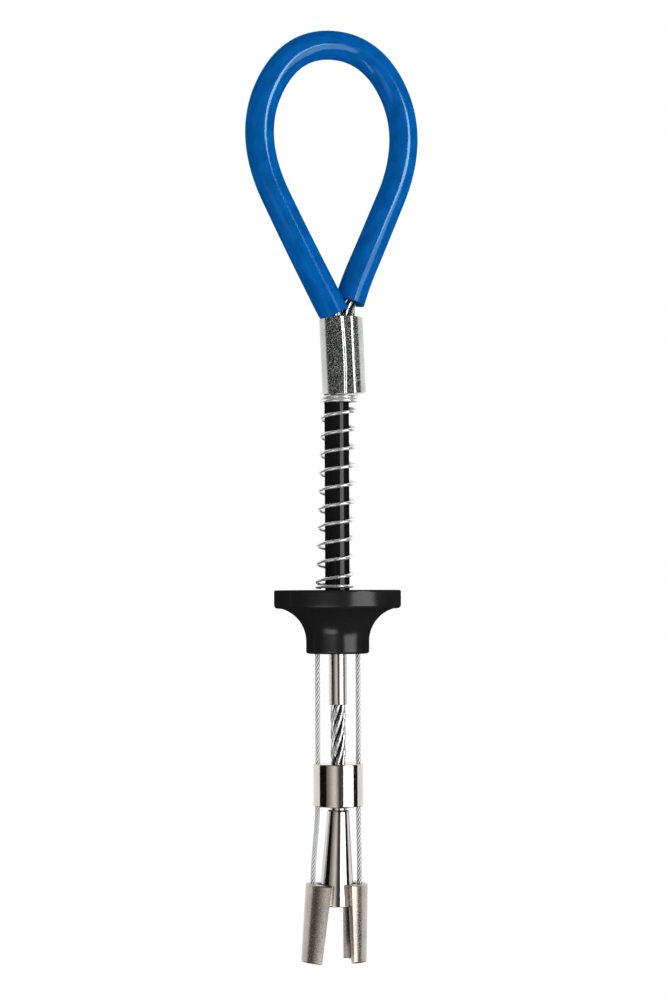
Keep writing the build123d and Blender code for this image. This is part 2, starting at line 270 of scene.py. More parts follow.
# Control points of the route, each with its weight. The legs cross a little apart, left one in front.
route_points = [
    ((0.0, 0.0, -35.75), 1), ((0.0, 0.0, 120.0), 1), ((0.0, 0.0, 142.0), 1), ((-1.22, 0.0, 169.0), 1),
    ((-1.6, -0.7, 173.0), 1), ((-4.4, -1.2, 178.4), 1), ((-14.0, -0.9, 196.2), 1), ((-33.25, 0.0, 235.3), 0.9),
    ((-18.0, 0.0, 270.6), 0.84), ((15.3, 0.0, 270.6), 0.84), ((30.5, 0.0, 236.5), 0.9),
    ((13.5, 0.9, 196.1), 1), ((8.1, 1.6, 183.6), 1), ((4.6, 1.6, 175.3), 1), ((4.9, 0.3, 167.0), 1),
    ((5.92, 0.0, 143.9), 1),
]


def read_route(points):
    """The line of a smooth curve through weighted control points in millimetres."""
    curve = bpy.data.curves.new("route", "CURVE")
    curve.dimensions = "3D"
    curve.resolution_u = route_steps
    spline = curve.splines.new("NURBS")
    spline.points.add(len(points) - 1)
    for knot, (place, weight) in zip(spline.points, points):
        knot.co = (place[0] * mm, place[1] * mm, place[2] * mm, weight)
    spline.order_u = 3
    spline.use_endpoint_u = True
    holder = bpy.data.objects.new("route", curve)
    mesh = bpy.data.meshes.new_from_object(holder)
    line = np.array([v.co for v in mesh.vertices])
    bpy.data.objects.remove(holder)
    bpy.data.curves.remove(curve)
    bpy.data.meshes.remove(mesh)
    return line


def unit(vectors):
    """Vectors made one long."""
    return vectors / np.linalg.norm(vectors, axis=-1, keepdims=True)


class Path:
    """A line with a frame at any distance along it: its direction, a side near +Y, and the third axis."""

    def __init__(self, line):
        self.line = line
        steps = np.linalg.norm(np.diff(line, axis=0), axis=1)
        self.reach = np.concatenate([[0], np.cumsum(steps)])
        self.length = self.reach[-1]
        self.course = unit(np.gradient(line, self.reach, axis=0))

    def at(self, distance):
        """Centres, sides, third axes and directions at distances. The line goes straight on past its ends."""
        distance = np.asarray(distance, float)
        centre = np.stack([np.interp(distance, self.reach, self.line[:, k]) for k in range(3)], -1)
        course = unit(np.stack([np.interp(distance, self.reach, self.course[:, k]) for k in range(3)], -1))
        beyond = distance - np.clip(distance, 0, self.length)
        centre = centre + course * beyond[:, None]
        side = np.zeros_like(course)
        side[:, 1] = 1
        side = unit(side - course * np.sum(side * course, -1, keepdims=True))
        return centre, side, np.cross(course, side), course


def rings(centre, side, other, radii, columns):
    """A grid of points round a line of centres: the centre, plus the radius times the side turned by the
    column's angle. There is one radius for each row, or for each row and column."""
    radii = np.asarray(radii, float)
    if radii.ndim == 1:
        radii = np.repeat(radii[:, None], columns, axis=1)
    angle = np.linspace(0, 2 * pi, columns, endpoint=False)
    across = side[:, None] * np.cos(angle)[:, None] + other[:, None] * np.sin(angle)[:, None]
    return centre[:, None] + across * radii[..., None]


def closed_ends(grid, centre):
    """The grid with its first and last rows drawn in to the centre line."""
    columns = grid.shape[1]
    first = np.repeat(centre[:1, None], columns, axis=1)
    last = np.repeat(centre[-1:, None], columns, axis=1)
    return np.concatenate([first, grid, last])


def strand(path, distance, turn, circle, lay, radius, columns):
    """One strand that winds round a path. Its centre stands off the path by the circle's radius, at an angle
    that grows by one turn in each lay. Radius may be given for each row and column."""
    centre, side, other, course = path.at(distance)
    angle = (turn + 2 * pi * distance / lay)[:, None]
    out = side * np.cos(angle) + other * np.sin(angle)
    round_way = np.cross(course, out)
    centre = centre + out * circle
    own_course = unit(course + round_way * 2 * pi * circle / lay)
    return closed_ends(rings(centre, out, np.cross(own_course, out), radius, columns), centre)


def outward(grids, path, distance, radius):
    """How far out each point of some strands is: its distance from the path over the radius, 1 on a crown."""
    centre = path.at(distance)[0]
    centre = np.concatenate([centre[:1], centre, centre[-1:]])[:, None]
    return [np.linalg.norm(grid - centre, axis=-1) / radius for grid in grids]


def stations(path, windows):
    """Distances along a path: close together where it shows, far apart where it is hidden."""
    steps, distance = [], 0.0
    while distance < path.length:
        steps.append(distance)
        shown = any(low <= distance <= high for low, high in windows)
        distance += fine_step if shown else coarse_step
    return np.array(steps + [path.length])


def add_piece(name, grids, joined=(), caps=(), depths=None):
    """A mesh from grids of points, each closed round its columns. Rows run along the piece, and columns turn
    anticlockwise about that direction, so the faces point outwards. Grids numbered in joined are closed along
    their rows too. UV: u is the share of the way round, v the row's share of the length. Depths, one for each
    point, are kept for the material."""
    points, faces, places = [], [], []
    start = 0
    for number, grid in enumerate(grids):
        rows, columns = grid.shape[:2]
        last = rows if number in joined else rows - 1
        row, column = np.meshgrid(np.arange(last), np.arange(columns), indexing="ij")
        next_row, next_column = (row + 1) % rows, (column + 1) % columns
        corners = [(row, column), (row, next_column), (next_row, next_column), (next_row, column)]
        faces.append(start + np.stack([r * columns + c for r, c in corners], -1).reshape(-1, 4))
        across = np.stack([column, column + 1, column + 1, column], -1) / columns
        along = np.stack([row, row, row + 1, row + 1], -1) / rows
        places.append(np.stack([across, along], -1).reshape(-1, 2))
        points.append(grid.reshape(-1, 3))
        start += rows * columns
    points, faces, places = np.concatenate(points), np.concatenate(faces), np.concatenate(places)
    mesh = bpy.data.meshes.new(name)
    mesh.from_pydata(points.tolist(), [], faces.tolist() + [list(c) for c in caps])
    layer = mesh.uv_layers.new(name="UVMap")
    flat = np.zeros((len(mesh.loops), 2))
    flat[: len(places)] = places
    layer.data.foreach_set("uv", flat.ravel())
    if depths is not None:
        marks = mesh.attributes.new("depth", "FLOAT", "POINT")
        marks.data.foreach_set("value", np.concatenate([d.ravel() for d in depths]).astype(np.float32))
    shape = bmesh.new()
    shape.from_mesh(mesh)
    bmesh.ops.remove_doubles(shape, verts=shape.verts, dist=1e-8)
    shape.to_mesh(mesh)
    shape.free()
    mesh.polygons.foreach_set("use_smooth", [True] * len(mesh.polygons))
    mesh.set_sharp_from_angle(angle=crease_angle)
    made = bpy.data.objects.new(name, mesh)
    bpy.context.scene.collection.objects.link(made)
    return made


def new_finish(name):
    """A new material and the outputs of its texture coordinates."""
    made = bpy.data.materials.new(name)
    made.use_nodes = True
    return made, add_node(made, "TexCoord").outputs


def shaded(colour, share):
    """A darker or paler colour: each part of it times a share."""
    return tuple(part * share for part in colour)


def patches(material, place, scale, detail):
    """Soft random patches, as a share from 0 to 1."""
    return add_node(material, "TexNoise", {"Vector": place, "Scale": scale, "Detail": detail}).outputs["Fac"]


def two_tone(material, share, between, first, second):
    """A colour that goes from the first to the second while the share goes between two values."""
    ramp = add_node(material, "ValToRGB", {"Fac": share})
    for stop, position, colour in zip(ramp.color_ramp.elements, between, (first, second)):
        stop.position = position
        stop.color = (*colour, 1)
    return ramp.outputs["Color"]


def overlaid(material, share, first, second):
    """A plain colour that gives way to a patterned one as the share goes from 0 to 1. A Mix node's sockets 6
    and 7 are its two colours, and its output 2 is the mixed one."""
    return add_node(material, "Mix", {0: share, 6: (*first, 1), 7: second}, data_type="RGBA").outputs[2]


def ranged(material, share, between, gives, kind="LINEAR"):
    """A number that goes from the first to the last it gives while the share goes between two values."""
    sockets = {"Value": share, "From Min": between[0], "From Max": between[1], "To Min": gives[0],
               "To Max": gives[1]}
    return add_node(material, "MapRange", sockets, interpolation_type=kind).outputs["Result"]


def finish(material, sockets):
    """Sets and links the sockets of a material's own shader."""
    set_sockets(material, material.node_tree.nodes["Principled BSDF"], sockets)
    return material


def steel_wire(name, colour, roughness, grain_scale, valley=None, metallic=1.0):
    """Drawn steel wire: a fine grain and, between the strands of a cable, near-black painted shade in the
    valleys. Valley is the range of depths over which that painted shade fades out."""
    made, place = new_finish(name)
    grain = patches(made, place["Object"], grain_scale, detail=3.0)
    paint = two_tone(made, grain, (0.3, 0.6), shaded(colour, 0.72), colour)
    if valley is not None:
        # Painted shade: the colour goes to near black where a point lies deep between strands.
        depth = add_node(made, "Attribute", attribute_name="depth").outputs["Fac"]
        unshaded = ranged(made, depth, valley, (0.0, 1.0), "SMOOTHSTEP")
        paint = overlaid(made, unshaded, valley_shade, paint)
    return finish(made, {
        "Base Color": paint,
        "Roughness": ranged(made, grain, (0.0, 1.0), (roughness * 0.8, roughness * 1.3)),
        "Metallic": metallic,
    })


def settle(piece, material, slot, body, *nodes):
    """Gives a finished piece its material, the body it rides on and the CAD nodes that it shows. Its slot is
    not used."""
    piece.data.materials.append(material)
    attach(piece, body)
    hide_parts(*nodes)


cable_path = Path(read_route(route_points))
sleeve_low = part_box("stop_sleeve")[0].z
collar_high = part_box("guide_collar")[1].z
ferrule_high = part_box("eye_ferrule")[1].z
route_height = cable_path.line[:, 2]
crest = int(np.argmax(route_height))
cable_foot = route_height[0]
root_height = ferrule_high - under_edge
left_root = np.interp(root_height, route_height[:crest], cable_path.reach[:crest])
right_root = np.interp(-root_height, -route_height[crest:], cable_path.reach[crest:])
shown = [
    (collar_high - cable_foot - under_edge, sleeve_low - cable_foot + under_edge),
    (left_root - under_edge, left_root + left_bare),
    (right_root - right_bare, right_root + under_edge),
]
distance = stations(cable_path, shown)
fades = np.sort(np.ravel([(low - relief_fade, low, high, high + relief_fade) for low, high in shown]))
grooved = np.interp(distance, fades, [0, 1, 1, 0] * len(shown))
strand_angle = np.linspace(0, 2 * pi, strand_columns, endpoint=False)
wire_angle = strand_angle[None] + 2 * pi * distance[:, None] / wire_lay
wire_ridge = np.abs(np.cos(wires_per_strand / 2 * wire_angle))
fluted = strand_radius * (1 - wire_relief * grooved[:, None] * (1 - wire_ridge))
strands = [
    strand(cable_path, distance, 2 * pi * number / strand_count, strand_circle, strand_lay, fluted,
           strand_columns)
    for number in range(strand_count)
]
core_centre, core_side, core_other, _ = cable_path.at(np.linspace(0, cable_path.length, core_rows))
core_rings = rings(core_centre, core_side, core_other, np.full(core_rows, core_radius), core_columns)
core = closed_ends(core_rings, core_centre)
rope_depths = outward(strands, cable_path, distance, cable_radius)
rope = add_piece("cable_rope", strands + [core], depths=rope_depths + [np.zeros(core.shape[:2])])
rope_steel = steel_wire("rope_wire", rope_colour, roughness=0.26, grain_scale=900.0, valley=rope_valley)
settle(rope, rope_steel, "wire_rope", "cable", "main_cable")


# ---- eye ferrule ----
# Plated sleeve swaged round both legs of the eye between two dies. The press leaves flat faces, a step down
# the front and back, and a domed top. It leans with the legs.
ferrule_lean = radians(2.5)
ferrule_radius = 8.0 * mm
ferrule_edge = 0.3 * mm
ferrule_drop = 0.35 * mm        # the swaged metal reaches a little lower
ferrule_dome = 0.4 * mm
face_distance = 7.45 * mm       # pressed face, from the axis
face_turn = radians(5.6)        # the way it faces, right of the camera
face_blend = 0.06 * mm
face_end = radians(80)          # the press doesn't reach further round than this
flattest_cosine = 0.3           # keeps the face's distance finite beside it
step_turn = radians(2.5)        # the step where the two dies met
step_bow = radians(3.2)
step_width = radians(3.3)
end_bulge = 0.6 * mm            # the metal pushed out of both ends in front and behind
bulge_reach = 3 * mm
ferrule_columns = 720
ferrule_rows = 48
end_margin = 1.5 * mm           # from each end to the first of those rows
ferrule_colour = (0.58, 0.6, 0.55)


def rounded(corners, steps=6):
    """A profile of (distance along, radius) points with its corners rounded. Corners are (distance, radius,
    rounding). An arc's centre stands on the corner's middle line, as far off as the rounding over the sine of
    half its angle. A point close to each end of a rounding keeps the flat next to it flat."""
    support_share, room_share = 0.25, 0.4
    places = [np.array(c[:2], float) for c in corners]
    found = []
    for number, (place, corner) in enumerate(zip(places, corners)):
        rounding = corner[2]
        if rounding == 0:
            found.append(place)
            continue
        before = places[number - 1] - place
        after = places[(number + 1) % len(places)] - place
        room = min(np.linalg.norm(before), np.linalg.norm(after))
        before, after = unit(before), unit(after)
        half_angle = np.arccos(np.clip(before @ after, -1, 1)) / 2
        reach = rounding / tan(half_angle)
        middle = place + unit(before + after) * rounding / sin(half_angle)
        first, last = place + before * reach, place + after * reach
        support = min(support_share * rounding, room_share * (room - reach))
        if support > 0:
            found.append(first + before * support)
        start, end = first - middle, last - middle
        turn = pi - 2 * half_angle
        for share in np.linspace(0, 1, steps + 1):
            arm = (sin((1 - share) * turn) * start + sin(share * turn) * end) / sin(turn)
            found.append(middle + arm)
        if support > 0:
            found.append(last + after * support)
    return np.array(found)


def pressed_steel(name, colour, roughness, pit_scale, pit_depth, film_share):
    """Satin plating on pressed metal: a cloudy colour with fine pits, each with a pale film of zinc oxide.
    Film share is how metallic the film is."""
    made, place = new_finish(name)
    cloud = patches(made, place["Object"], scale=160.0, detail=4.0)
    pits = patches(made, place["Object"], pit_scale, detail=2.0)
    bump = add_node(made, "Bump", {"Height": pits, "Strength": 0.6, "Distance": pit_depth})
    return finish(made, {
        "Base Color": two_tone(made, cloud, (0.35, 0.65), shaded(colour, 0.8), colour),
        "Roughness": ranged(made, pits, (0.3, 0.7), (roughness * 0.75, roughness * 1.35)),
        "Metallic": ranged(made, pits, (0.47, 0.72), (1.0, film_share)),
        "Normal": bump.outputs["Normal"],
    })


ferrule_low_box, ferrule_high_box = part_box("eye_ferrule")
ferrule_middle = np.array((ferrule_low_box + ferrule_high_box) / 2)
lean_axis = np.array([-sin(ferrule_lean), 0, cos(ferrule_lean)])
ferrule_height = ferrule_high_box.z - ferrule_low_box.z
ferrule_long = (ferrule_height - 2 * ferrule_radius * sin(ferrule_lean)) / cos(ferrule_lean)
shell_long = ferrule_long + ferrule_drop
end_rows = rounded([
    (0, 0, 0), (0, ferrule_radius, ferrule_edge),
    (shell_long, ferrule_radius, ferrule_edge), (shell_long, 0, 0),
])
body_heights = np.linspace(end_margin, shell_long - end_margin, ferrule_rows)
body_rows = np.stack([body_heights, np.full(ferrule_rows, ferrule_radius)], -1)
ferrule_profile = np.concatenate([end_rows[: len(end_rows) // 2], body_rows, end_rows[len(end_rows) // 2:]])
ferrule_profile[-1:, 0] += ferrule_dome
turn = np.linspace(-pi, pi, ferrule_columns, endpoint=False)[None]
height = ferrule_profile[:, :1]
meeting = step_turn + step_bow * np.sin(pi * height / shell_long)


def pressed(angle):
    """The radius of the pressed side, as a share of the round one, at angles from the camera to the right. A
    flat's radius is its distance over the cosine. A soft minimum joins it to the round, and a steep S-shaped
    curve makes the step."""
    face = face_distance / np.maximum(np.cos(angle - face_turn), flattest_cosine)
    gap = face - ferrule_radius
    flat = ferrule_radius + (gap - np.sqrt(gap ** 2 + face_blend ** 2)) / 2
    past_step = 1 / (1 + np.exp(-(angle - meeting) / (step_width / 2)))
    return 1 + (flat / ferrule_radius - 1) * past_step * (np.abs(angle) < face_end)


front = pressed(turn)
back = pressed((turn + 2 * pi) % (2 * pi) - pi)
reach = ferrule_profile[:, 1:] * np.minimum(front, back)
across = np.cos(turn)[..., None] * np.array(toward_camera) + np.sin(turn)[..., None] * np.array(view_right)
across = across - lean_axis * (across @ lean_axis)[..., None]
foot = ferrule_middle - lean_axis * (ferrule_long / 2 + ferrule_drop)
near_top = np.clip(1 - (shell_long - height) / bulge_reach, 0, 1)
near_foot = np.clip(1 - height / bulge_reach, 0, 1)
height = height + end_bulge * np.cos(turn) ** 2 * (near_top - near_foot) * (reach > 0)
ferrule_grid = foot + height[..., None] * lean_axis + reach[..., None] * across
ferrule = add_piece("ferrule", [ferrule_grid])
ferrule_plating = pressed_steel("ferrule_plating", ferrule_colour, roughness=0.15, pit_scale=2800.0,
                                pit_depth=0.04 * mm, film_share=0.48)
settle(ferrule, ferrule_plating, "swaged_zinc", "cable", "eye_ferrule")


# ---- eye sheath ----
# Extruded blue vinyl tube, loose on the cable round the eye. It is cut square at both ends, just above the
# ferrule. Its left end lies in front of the bare right leg and is pressed out round it.
sheath_radius = 5.25 * mm
sheath_bore = 3.65 * mm
sheath_rounding = 0.35 * mm
end_stretch = 0.3 * mm          # the vinyl is a little wider where it was pushed on
stretch_length = 45 * mm
sheath_rows = 260
sheath_columns = 64
sheath_margin = 2 * mm          # from each end to the first of those rows
press_gap = 0.15 * mm
press_height = 190 * mm         # the right leg presses on the sheath below this height
press_side = 2.5 * mm           # and left of this
pressing_leg = 25 * mm          # as far up the right leg as that can be
pressing_rows = 120
rest_gap = 0.1 * mm
vinyl_deep = (0.0003, 0.066, 0.245)
vinyl_light = (0.0006, 0.092, 0.34)
vinyl_gleam = (0.5, 0.85, 1.0, 1)
dull_gloss = 0.08               # on the leg that lies on the ferrule, dulled by handling
wet_gloss = 0.6
dull_fade = (0.08, 0.16)        # shares of the sheath's length over which one gives way to the other
sheath_points = [
    ((-1.15, -1.2, 172.1), 1), ((-14.1, -0.9, 196.2), 1), ((-33.25, 0.0, 235.3), 0.9),
    ((-18.0, 0.0, 270.6), 0.84), ((15.3, 0.0, 270.6), 0.84), ((30.5, 0.0, 236.5), 0.9),
    ((13.2, 0.9, 196.1), 1), ((7.9, 1.6, 184.0), 1), ((5.7, 1.6, 176.9), 1),
]


def swept(path, profile, columns):
    """A grid from a profile of (distance along, radius) points turned round a path."""
    centre, side, other, _ = path.at(profile[:, 0])
    return rings(centre, side, other, profile[:, 1], columns)


def press_out(points, line, clearance):
    """Moves points that are nearer to a line than the clearance straight out to it."""
    gap = points[:, None] - line[None]
    size = np.linalg.norm(gap, axis=-1)
    nearest = np.argmin(size, axis=1)
    row = np.arange(len(points))
    size, gap = size[row, nearest], gap[row, nearest]
    inside = size < clearance
    moved = points.copy()
    moved[inside] += gap[inside] * ((clearance - size[inside]) / size[inside])[:, None]
    return moved


def faded_gloss(material, level):
    """A gloss that fades where the surface turns away, as on soft, slightly waxy plastic."""
    edge = add_node(material, "LayerWeight", {"Blend": 0.5})
    return ranged(material, edge.outputs["Facing"], (0.12, 0.36), (level, 0.0))


def vinyl():
    """Clear-looking blue vinyl: faint streaks along it and a wet gloss that fades towards its edges."""
    made, place = new_finish("blue_vinyl")
    stretch = add_node(made, "Mapping", {"Vector": place["UV"], "Scale": (9.0, 60.0, 1.0),
                                         "Rotation": (0.0, 0.0, 0.12)})
    streak = patches(made, stretch.outputs[0], scale=1.0, detail=2.0)
    wear = patches(made, place["Object"], scale=700.0, detail=4.0)
    bump = add_node(made, "Bump", {"Height": wear, "Strength": 0.2, "Distance": 0.02 * mm})
    along = add_node(made, "SeparateXYZ", {"Vector": place["UV"]}).outputs["Y"]
    level = ranged(made, along, dull_fade, (dull_gloss, wet_gloss))
    return finish(made, {
        "Base Color": two_tone(made, streak, (0.35, 0.7), vinyl_deep, vinyl_light),
        "Roughness": ranged(made, wear, (0.3, 0.7), (0.07, 0.13)),
        "Specular IOR Level": faded_gloss(made, level),
        "Specular Tint": vinyl_gleam,
        "Normal": bump.outputs["Normal"],
    })


sheath_path = Path(read_route(sheath_points))
sheath_length = sheath_path.length
end_radius = sheath_radius + end_stretch
cut_ends = rounded([
    (0, sheath_bore, sheath_rounding), (0, end_radius, sheath_rounding),
    (sheath_length, end_radius, sheath_rounding), (sheath_length, sheath_bore, sheath_rounding),
])
along = np.linspace(sheath_margin, sheath_length - sheath_margin, sheath_rows)
from_end = np.minimum(along, sheath_length - along)
outer_run = np.stack([along, sheath_radius + end_stretch * np.clip(1 - from_end / stretch_length, 0, 1)], -1)
inner_run = np.stack([along[::-1], np.full(sheath_rows, sheath_bore)], -1)
left_cut, right_cut = np.split(cut_ends, 2)
sheath_grid = swept(sheath_path, np.concatenate([left_cut, outer_run, right_cut, inner_run]), sheath_columns)
sheath_skin = sheath_grid.reshape(-1, 3)
by_leg = (sheath_skin[:, 2] < press_height) & (sheath_skin[:, 0] < press_side)
right_leg = cable_path.at(np.linspace(right_root - pressing_leg, cable_path.length, pressing_rows))[0]
sheath_skin[by_leg] = press_out(sheath_skin[by_leg], right_leg, cable_radius + press_gap)
ferrule_head = ferrule_middle + lean_axis * ferrule_long / 2
seat_height = ferrule_head[2] + (sheath_skin[:, 0] - ferrule_head[0]) * tan(ferrule_lean) + rest_gap
seat_height += end_bulge * np.clip(sheath_skin[:, 1] / ferrule_radius, -1, 1) ** 2
sheath_skin[:, 2] = np.maximum(sheath_skin[:, 2], seat_height)
sheath = add_piece("eye_sheath", [sheath_skin.reshape(sheath_grid.shape)], joined=(0,))
settle(sheath, vinyl(), "blue_vinyl", "cable", "loop_sheath")


# ---- guide tube ----
# Extruded glossy black plastic tube over the cable. The spring stands round it and the knob slides over it.
tube_low, tube_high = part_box("guide_tube")
tube_radius = (tube_high.x - tube_low.x) / 2
tube_gap = 0.1 * mm
tube_bore = cable_radius + tube_gap
tube_edge = 0.3 * mm
tube_colour = (0.006, 0.006, 0.0065)
turned_columns = 128
upright_foot = -1.0             # the upright path starts this low, so that heights on it are never negative
upright = Path(np.array([(0, 0, upright_foot), (0, 0, -upright_foot)]))


def turned(corners, columns=turned_columns):
    """A grid turned about the Z axis from corners of (height, radius, rounding)."""
    profile = rounded(corners)
    profile[:, 0] -= upright_foot
    return swept(upright, profile, columns)


def black_plastic(name, colour, roughness, grain_scale, grain_depth):
    """Black moulded plastic with a faint grain and handling marks."""
    made, place = new_finish(name)
    grain = patches(made, place["Object"], grain_scale, detail=3.0)
    marks = patches(made, place["Object"], scale=90.0, detail=5.0)
    bump = add_node(made, "Bump", {"Height": grain, "Strength": 0.2, "Distance": grain_depth})
    return finish(made, {
        "Base Color": two_tone(made, marks, (0.0, 1.0), shaded(colour, 0.75), shaded(colour, 1.3)),
        "Roughness": ranged(made, marks, (0.3, 0.7), (roughness * 0.9, roughness * 1.15)),
        "Specular IOR Level": faded_gloss(made, 0.5),
        "Normal": bump.outputs["Normal"],
    })


tube = add_piece("tube", [turned([
    (tube_low.z, tube_bore, 0), (tube_low.z, tube_radius, tube_edge),
    (tube_high.z, tube_radius, tube_edge), (tube_high.z, tube_bore, 0),
])], joined=(0,))
tube_black = black_plastic("tube_black", tube_colour, roughness=0.12, grain_scale=3000.0,
                           grain_depth=0.004 * mm)
settle(tube, tube_black, "tube_plastic", "cable", "guide_tube")


# ---- stop sleeve ----
# Nickel-plated steel sleeve swaged on the cable. Its flange sits in the knob's foot and stops the knob.
sleeve_box_low, sleeve_box_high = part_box("stop_sleeve")
flange_radius = (sleeve_box_high.x - sleeve_box_low.x) / 2
flange_thickness = 2.4 * mm
flange_low = sleeve_box_high.z - flange_thickness
sleeve_radius = 3.3 * mm
sleeve_edge = 0.2 * mm
flange_root = 0.15 * mm
nickel_colour = (0.72, 0.655, 0.61)
speck_share = 0.55              # of the mottling, the rest is clouds


def nickel(name, colour, roughness, speckle, paleness=0.88, metallic=1.0, inside=None):
    """Warm nickel plating: a turned grain round the axis, fine speckle and faint clouds. Paleness is how much
    of the colour its darkest specks keep. Inside is a painted shade colour, used where the mesh's depth is 0."""
    made, place = new_finish(name)
    stretch = add_node(made, "Mapping", {"Vector": place["Object"], "Scale": (60.0, 60.0, 2600.0)})
    grain = patches(made, stretch.outputs[0], scale=1.0, detail=3.0)
    specks = patches(made, place["Object"], scale=2600.0, detail=2.0)
    clouds = patches(made, place["Object"], scale=140.0, detail=4.0)
    mottle = add_node(made, "Mix", {0: speck_share, 2: clouds, 3: specks}).outputs[0]
    shade = two_tone(made, mottle, (0.38, 0.6), shaded(colour, paleness), colour)
    if inside is not None:
        # Painted shade: the inside colour takes over where the depth is 0.
        depth = add_node(made, "Attribute", attribute_name="depth").outputs["Fac"]
        shade = overlaid(made, depth, inside, shade)
    texture = add_node(made, "Math", {0: grain, 1: specks}, operation="ADD").outputs[0]
    bump = add_node(made, "Bump", {"Height": texture, "Strength": 0.3, "Distance": speckle})
    return finish(made, {
        "Base Color": shade,
        "Roughness": ranged(made, specks, (0.3, 0.7), (roughness * 0.7, roughness * 1.4)),
        "Metallic": metallic,
        "Normal": bump.outputs["Normal"],
    })


sleeve = add_piece("sleeve", [turned([
    (sleeve_box_low.z, cable_radius, 0), (sleeve_box_low.z, sleeve_radius, sleeve_edge),
    (flange_low, sleeve_radius, flange_root), (flange_low, flange_radius, sleeve_edge),
    (sleeve_box_high.z, flange_radius, sleeve_edge), (sleeve_box_high.z, cable_radius, 0),
])], joined=(0,))
bright_nickel = nickel("bright_nickel", nickel_colour, roughness=0.1, speckle=0.006 * mm)
settle(sleeve, bright_nickel, "nickel_plate", "cable", "stop_sleeve")


# ---- guide collar ----
# Turned and nickel-plated steel. It fills the hole, and both control wires slide through it.
collar_low, collar_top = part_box("guide_collar")
collar_radius = (collar_top.x - collar_low.x) / 2
collar_edge = 0.3 * mm
collar_columns = 192
collar = add_piece("collar", [turned([
    (collar_low.z, cable_radius, 0), (collar_low.z, collar_radius, collar_edge),
    (collar_top.z, collar_radius, collar_edge), (collar_top.z, cable_radius, 0),
], collar_columns)], joined=(0,))
settle(collar, bright_nickel, "nickel_plate", "cable", "guide_collar")


# ---- washer and wedge ----
# The wedge is turned steel, swaged on the cable's end and nickel plated. A small washer keeps it off the
# collar. The cable's last stretch is bent a little, so both lean to the left in the view.
wedge_lean = radians(1.5)
washer_low, washer_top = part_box("wedge_washer")
wedge_low, wedge_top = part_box("wedge_cone")
washer_radius = (washer_top.x - washer_low.x) / 2
washer_edge = 0.35 * mm
neck_radius = 3.15 * mm
neck_edge = 0.1 * mm
washer_bore = neck_radius - 0.3 * mm
cone_length = 35.0 * mm
cone_top_radius = 4.0 * mm
cone_bottom_radius = (wedge_top.x - wedge_low.x) / 2
cone_shoulder = 0.8 * mm
cone_edge = 0.3 * mm
wedge_columns = 160
wedge_rise = 0.55 * mm          # the swaged cable's last millimetres sit a little higher
lower_reach = 0.1               # length of the leaning path below the collar
collar_foot = np.array([0, 0, collar_low.z])
lean_down = np.array([-sin(wedge_lean), 0, -cos(wedge_lean)])
lower_path = Path(np.array([collar_foot + lean_down * lower_reach, collar_foot]))


def leaning(corners, columns=turned_columns):
    """A grid turned about the leaning axis under the collar, from corners of (height, radius, rounding)."""
    profile = rounded(corners)
    profile[:, 0] += lower_path.length - collar_low.z
    return swept(lower_path, profile, columns)


washer_foot = washer_low.z + wedge_rise
washer = add_piece("washer", [leaning([
    (washer_foot, washer_bore, 0), (washer_foot, washer_radius, washer_edge),
    (washer_top.z, washer_radius, washer_edge), (washer_top.z, washer_bore, 0),
])], joined=(0,))
settle(washer, bright_nickel, "nickel_plate", "cable", "wedge_washer")
wedge_bottom = wedge_low.z + wedge_rise
cone_top = wedge_bottom + cone_length
neck_top = wedge_top.z + wedge_rise
wedge = add_piece("wedge", [leaning([
    (wedge_bottom, 0, 0), (wedge_bottom, cone_bottom_radius, cone_edge),
    (cone_top, cone_top_radius, cone_shoulder), (cone_top, neck_radius, neck_edge),
    (neck_top, neck_radius, neck_edge), (neck_top, 0, 0),
], wedge_columns)])
settle(wedge, bright_nickel, "nickel_plate", "cable", "wedge_cone")


# ---- return spring ----
# Zinc-plated spring wire, wound right-handed, with closed end turns. It leans on its tube between the ferrule
# and the knob, and shortens when the knob is pulled.
knob_low, knob_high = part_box("trigger_knob")
spring_wire = 0.6 * mm          # its radius
spring_radius = 6.4 * mm
closed_pitch = 1.3 * mm
open_pitch = 6.66 * mm
foot_turns = 1
open_turns = 10
head_turns = 2
steps_per_turn = 40
coil_columns = 14
spring_start = radians(126)
spring_lean = radians(1.9)
spring_shift = -1.2 * mm        # its foot's centre, from the cable's
spring_seat_gap = 0.25 * mm
spring_colour = (0.95, 0.95, 0.95)
away = np.array([0, 1, 0])      # through the eye, from front to back
all_turns = foot_turns + open_turns + head_turns
turns = np.linspace(0, all_turns, all_turns * steps_per_turn + 1)
rises = [0, foot_turns * closed_pitch, open_turns * open_pitch, head_turns * closed_pitch]
rise = np.interp(turns, [0, foot_turns, foot_turns + open_turns, all_turns], np.cumsum(rises))[:, None]
swing = (spring_start + 2 * pi * turns)[:, None]
spring_foot = np.array([spring_shift, 0, knob_high.z + spring_wire + spring_seat_gap])
spring_side = np.array([cos(spring_lean), 0, -sin(spring_lean)])
spring_axis = np.array([sin(spring_lean), 0, cos(spring_lean)])
coil_out = np.cos(swing) * spring_side + np.sin(swing) * away
coil_path = Path(spring_foot + spring_radius * coil_out + rise * spring_axis)
coil_centre, _, _, coil_course = coil_path.at(coil_path.reach)
coil_out = unit(coil_out - coil_course * np.sum(coil_out * coil_course, -1, keepdims=True))
coil_rings = rings(coil_centre, coil_out, np.cross(coil_course, coil_out), np.full(len(turns), spring_wire),
                   coil_columns)
spring = add_piece("spring", [closed_ends(coil_rings, coil_centre)])
spring_zinc = steel_wire("spring_zinc", spring_colour, roughness=0.16, grain_scale=1200.0, metallic=0.75)
spring.data.materials.append(spring_zinc)
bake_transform(spring)
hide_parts("return_spring")


